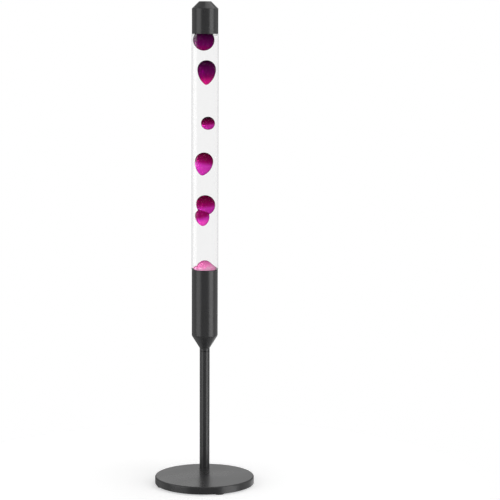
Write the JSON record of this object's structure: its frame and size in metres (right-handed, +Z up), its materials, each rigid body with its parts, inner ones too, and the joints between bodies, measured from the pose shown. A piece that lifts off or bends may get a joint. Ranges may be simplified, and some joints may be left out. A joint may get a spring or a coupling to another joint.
{
  "type": "floor lava lamp",
  "caption": "Slim floor lava lamp: disc base, rear-set pole, spun bulb housing and a sealed glass column of clear liquid and drifting wax under a lift-off cap.",
  "frame": {"origin": "centre of the base disc on the floor, level with the undersides of the rubber feet", "axes": "+Z up along the pole; -Y to the front, away from the pole; +X to the right seen from the front"},
  "size_m": [0.1568, 0.1568, 0.76],
  "materials": {
    "anthracite_coat": "satin",
    "cast_weight": "matte",
    "zinc_steel": "satin",
    "turned_aluminium": "satin",
    "black_rubber": "matte",
    "terminal_plastic": "matte",
    "brass": "satin",
    "lead_sheath": "satin",
    "holder_moulding": "satin",
    "bulb_cap_metal": "satin",
    "bulb_cap_glass": "gloss",
    "bulb_glass": "satin",
    "stem_glass": "gloss",
    "filament": "satin",
    "clear_glass": "gloss",
    "crown_tin": "satin",
    "crown_seal": "matte",
    "magenta_wax": "satin",
    "clear_liquid": "gloss",
    "cap_sleeve": "matte"
  },
  "bodies": {
    "stand": {"base_cover": "anthracite_coat", "base_weight": "cast_weight", "base_plate": "zinc_steel", "base_plate_screws": "zinc_steel", "rubber_feet": "black_rubber", "cord_grommet": "black_rubber", "terminal_block": "terminal_plastic", "terminal_screws": "brass", "inner_lead": "lead_sheath", "base_nipple": "zinc_steel", "base_washer": "zinc_steel", "base_nut": "zinc_steel", "pole_tube": "anthracite_coat", "pole_lower_plug": "turned_aluminium", "pole_upper_plug": "turned_aluminium", "neck_nipple": "zinc_steel", "neck_washer": "zinc_steel", "neck_nut": "zinc_steel", "lamp_housing": "anthracite_coat", "rim_gasket": "black_rubber", "holder_body": "holder_moulding", "holder_shell": "brass", "holder_contact": "brass"},
    "bulb_contact": {"bulb_tip": "brass"},
    "bulb": {"bulb_insulator": "bulb_cap_glass", "bulb_screw_shell": "bulb_cap_metal", "bulb_envelope": "bulb_glass", "bulb_stem": "stem_glass", "bulb_filament": "filament"},
    "bottle": {"glass_tube": "clear_glass", "crown_cap": "crown_tin", "crown_liner": "crown_seal", "clear_liquid": "clear_liquid", "wax_pool": "magenta_wax", "wax_coil": "zinc_steel"},
    "top_drop": {"wax_top_drop": "magenta_wax"},
    "tear_drop": {"wax_tear_drop": "magenta_wax"},
    "small_drop": {"wax_small_drop": "magenta_wax"},
    "egg_drop": {"wax_egg_drop": "magenta_wax"},
    "pair_drop": {"wax_pair_drop": "magenta_wax"},
    "cap": {"cap_shell": "anthracite_coat", "cap_liner": "cap_sleeve"}
  },
  "joints": [
    {"name": "bottle_lift", "type": "slide", "parent": "stand", "child": "bottle", "axis": [0, 0, 1], "range_m": [0, 0.06]},
    {"name": "cap_lift", "type": "slide", "parent": "bottle", "child": "cap", "axis": [0, 0, 1], "range_m": [0, 0.06]},
    {"name": "top_drop_float", "type": "slide", "parent": "bottle", "child": "top_drop", "axis": [0, 0, 1], "range_m": [-0.006, 0.0005], "deforming": ["clear_liquid"]},
    {"name": "tear_drop_float", "type": "slide", "parent": "bottle", "child": "tear_drop", "axis": [0, 0, 1], "range_m": [-0.023, 0.007], "deforming": ["clear_liquid"]},
    {"name": "small_drop_float", "type": "slide", "parent": "bottle", "child": "small_drop", "axis": [0, 0, 1], "range_m": [-0.017, 0.024], "deforming": ["clear_liquid"]},
    {"name": "egg_drop_float", "type": "slide", "parent": "bottle", "child": "egg_drop", "axis": [0, 0, 1], "range_m": [-0.014, 0.017], "deforming": ["clear_liquid"]},
    {"name": "pair_drop_float", "type": "slide", "parent": "bottle", "child": "pair_drop", "axis": [0, 0, 1], "range_m": [-0.05, 0.015], "deforming": ["clear_liquid"]},
    {"name": "bulb_rise", "type": "slide", "parent": "stand", "child": "bulb_contact", "axis": [0, 0, 1], "range_m": [0, 0.0086]},
    {"name": "bulb_turn", "type": "hinge", "parent": "bulb_contact", "child": "bulb", "pos_m": [0, 0.049, 0.2367], "axis": [0, 0, 1], "range_deg": [0, 1080]}
  ],
  "couplings": [
    {"joint": "bulb_rise", "follows": "bulb_turn", "m_per_rad": 0.00044913}
  ]
}
